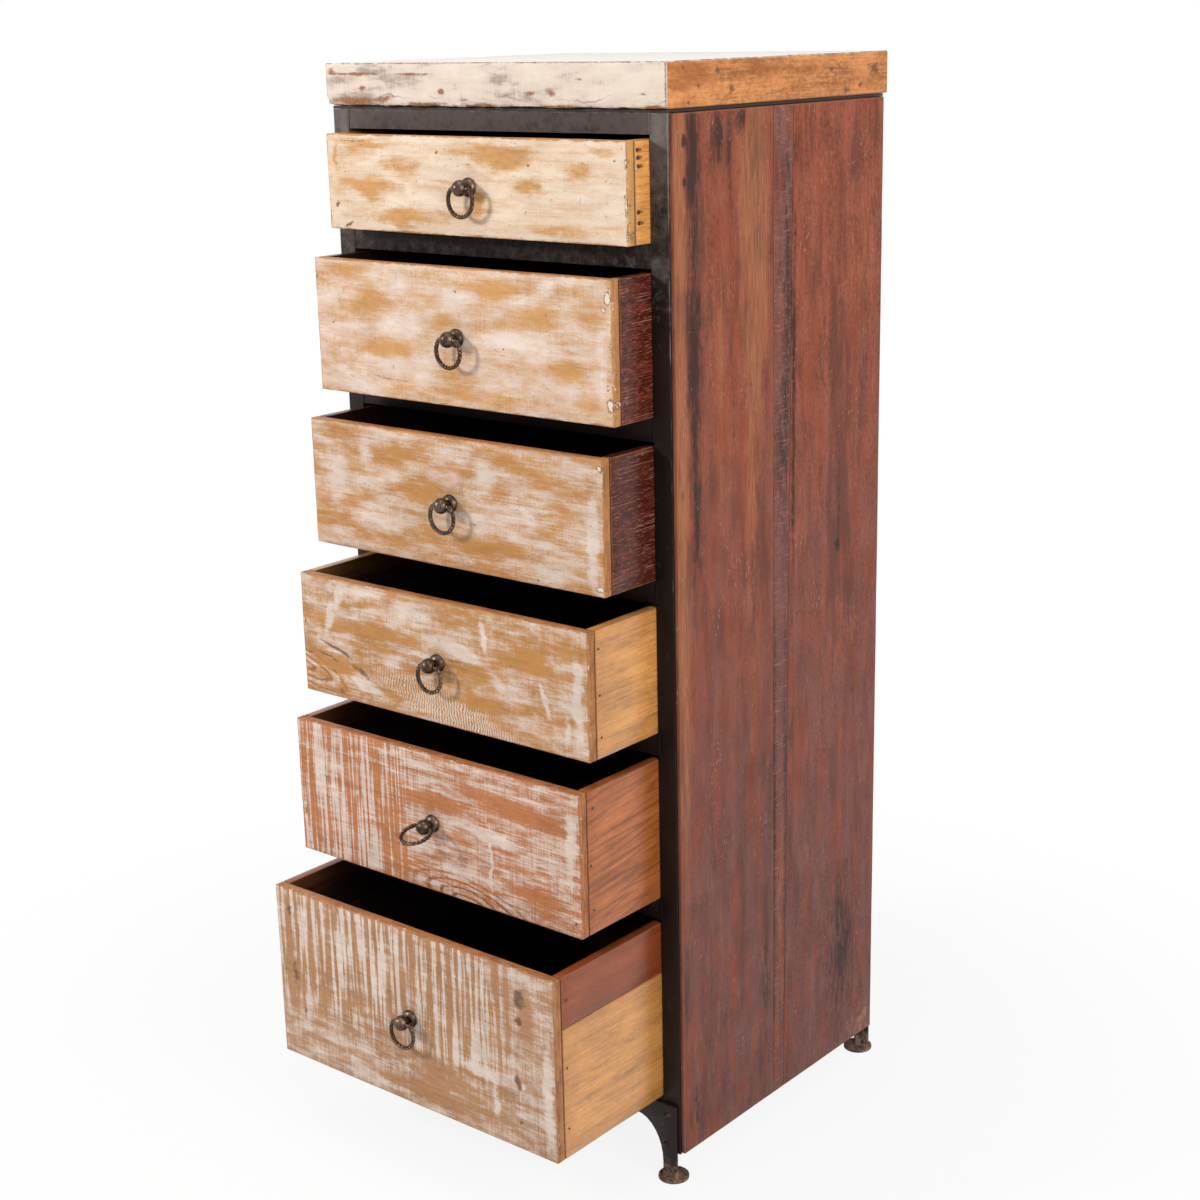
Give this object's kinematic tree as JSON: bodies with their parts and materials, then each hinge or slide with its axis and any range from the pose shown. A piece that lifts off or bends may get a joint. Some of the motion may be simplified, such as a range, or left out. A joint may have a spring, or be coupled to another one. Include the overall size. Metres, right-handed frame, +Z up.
{
  "type": "chest of drawers",
  "caption": "Tall narrow chest of drawers: black angle-iron frame, reclaimed-wood top, sides and sliding drawers with swinging ring pulls, on small cast feet.",
  "frame": {"origin": "on the floor, under the centre of the plan box with the drawers as pictured", "axes": "+Z up; -Y is the way the drawers open; +X is to the right when facing the drawers"},
  "size_m": [0.4702, 0.6003, 1.2036],
  "materials": {
    "black_iron": "black-painted mild steel, worn and slightly brown",
    "foot_iron": "dark cast iron, rusty at the edges",
    "pull_iron": "dark aged bronze-brown metal",
    "top_wood": "old cream paint, chipped to brown wood",
    "panel_wood": "reclaimed red-brown boards, oiled",
    "back_wood": "plain brown board",
    "bottom_wood": "plain thin board",
    "front_1_wood": "cream paint rubbed back to honey wood",
    "side_1_wood": "orange honey wood",
    "front_2_wood": "whitewash rubbed into honey wood",
    "side_2_wood": "dark maroon reclaimed wood",
    "front_3_wood": "whitewash rubbed into honey wood",
    "side_3_wood": "dark maroon reclaimed wood",
    "front_4_wood": "honey-brown wood with light brushed wash",
    "side_4_wood": "golden honey wood",
    "front_5_wood": "red-brown sawn wood with pale saw marks",
    "side_5_wood": "red-orange wood",
    "front_6_wood": "brown sawn wood with broad white stripes",
    "side_6_wood": "maroon over golden wood"
  },
  "bodies": {
    "cabinet": {"left_side_frame": "black_iron", "right_side_frame": "black_iron", "top_frame": "black_iron", "divider_frame_1": "black_iron", "divider_frame_2": "black_iron", "divider_frame_3": "black_iron", "divider_frame_4": "black_iron", "divider_frame_5": "black_iron", "bottom_frame": "black_iron", "foot_front_left": "foot_iron", "foot_front_right": "foot_iron", "foot_rear_left": "foot_iron", "foot_rear_right": "foot_iron", "left_panel": "panel_wood", "right_panel": "panel_wood", "back_panel": "back_wood", "top_board": "top_wood"},
    "drawer_1": {"drawer_1_front": "front_1_wood", "drawer_1_left_side": "side_1_wood", "drawer_1_right_side": "side_1_wood", "drawer_1_back": "side_1_wood", "drawer_1_bottom": "bottom_wood", "pull_1_stud": "pull_iron"},
    "ring_1": {"pull_1_ring": "pull_iron"},
    "drawer_2": {"drawer_2_front": "front_2_wood", "drawer_2_left_side": "side_2_wood", "drawer_2_right_side": "side_2_wood", "drawer_2_back": "side_2_wood", "drawer_2_bottom": "bottom_wood", "pull_2_stud": "pull_iron"},
    "ring_2": {"pull_2_ring": "pull_iron"},
    "drawer_3": {"drawer_3_front": "front_3_wood", "drawer_3_left_side": "side_3_wood", "drawer_3_right_side": "side_3_wood", "drawer_3_back": "side_3_wood", "drawer_3_bottom": "bottom_wood", "pull_3_stud": "pull_iron"},
    "ring_3": {"pull_3_ring": "pull_iron"},
    "drawer_4": {"drawer_4_front": "front_4_wood", "drawer_4_left_side": "side_4_wood", "drawer_4_right_side": "side_4_wood", "drawer_4_back": "side_4_wood", "drawer_4_bottom": "bottom_wood", "pull_4_stud": "pull_iron"},
    "ring_4": {"pull_4_ring": "pull_iron"},
    "drawer_5": {"drawer_5_front": "front_5_wood", "drawer_5_left_side": "side_5_wood", "drawer_5_right_side": "side_5_wood", "drawer_5_back": "side_5_wood", "drawer_5_bottom": "bottom_wood", "pull_5_stud": "pull_iron"},
    "ring_5": {"pull_5_ring": "pull_iron"},
    "drawer_6": {"drawer_6_front": "front_6_wood", "drawer_6_left_side": "side_6_wood", "drawer_6_right_side": "side_6_wood", "drawer_6_back": "side_6_wood", "drawer_6_bottom": "bottom_wood", "pull_6_stud": "pull_iron"},
    "ring_6": {"pull_6_ring": "pull_iron"}
  },
  "joints": [
    {"name": "drawer_1_slide", "type": "slide", "parent": "cabinet", "child": "drawer_1", "axis": [0, -1, 0], "range_m": [-0.0349, 0.2351]},
    {"name": "ring_1_hinge", "type": "hinge", "parent": "drawer_1", "child": "ring_1", "pos_m": [-0.00075, -0.1484, 1.0801], "axis": [-1, 0, 0], "range_deg": [-22, 202]},
    {"name": "drawer_2_slide", "type": "slide", "parent": "cabinet", "child": "drawer_2", "axis": [0, -1, 0], "range_m": [-0.0621, 0.2079]},
    {"name": "ring_2_hinge", "type": "hinge", "parent": "drawer_2", "child": "ring_2", "pos_m": [-0.00075, -0.1756, 0.9287], "axis": [-1, 0, 0], "range_deg": [-22, 202]},
    {"name": "drawer_3_slide", "type": "slide", "parent": "cabinet", "child": "drawer_3", "axis": [0, -1, 0], "range_m": [-0.0819, 0.1881]},
    {"name": "ring_3_hinge", "type": "hinge", "parent": "drawer_3", "child": "ring_3", "pos_m": [-0.00075, -0.1954, 0.7574], "axis": [-1, 0, 0], "range_deg": [-22, 202]},
    {"name": "drawer_4_slide", "type": "slide", "parent": "cabinet", "child": "drawer_4", "axis": [0, -1, 0], "range_m": [-0.1115, 0.1585]},
    {"name": "ring_4_hinge", "type": "hinge", "parent": "drawer_4", "child": "ring_4", "pos_m": [-0.00075, -0.225, 0.58985], "axis": [-1, 0, 0], "range_deg": [-22, 202]},
    {"name": "drawer_5_slide", "type": "slide", "parent": "cabinet", "child": "drawer_5", "axis": [0, -1, 0], "range_m": [-0.1302, 0.1398]},
    {"name": "ring_5_hinge", "type": "hinge", "parent": "drawer_5", "child": "ring_5", "pos_m": [-0.00075, -0.2437, 0.41355], "axis": [-1, 0, 0], "range_deg": [-94, 130]},
    {"name": "drawer_6_slide", "type": "slide", "parent": "cabinet", "child": "drawer_6", "axis": [0, -1, 0], "range_m": [-0.1783, 0.0917]},
    {"name": "ring_6_hinge", "type": "hinge", "parent": "drawer_6", "child": "ring_6", "pos_m": [-0.00075, -0.2918, 0.20225], "axis": [-1, 0, 0], "range_deg": [-22, 202]}
  ]
}
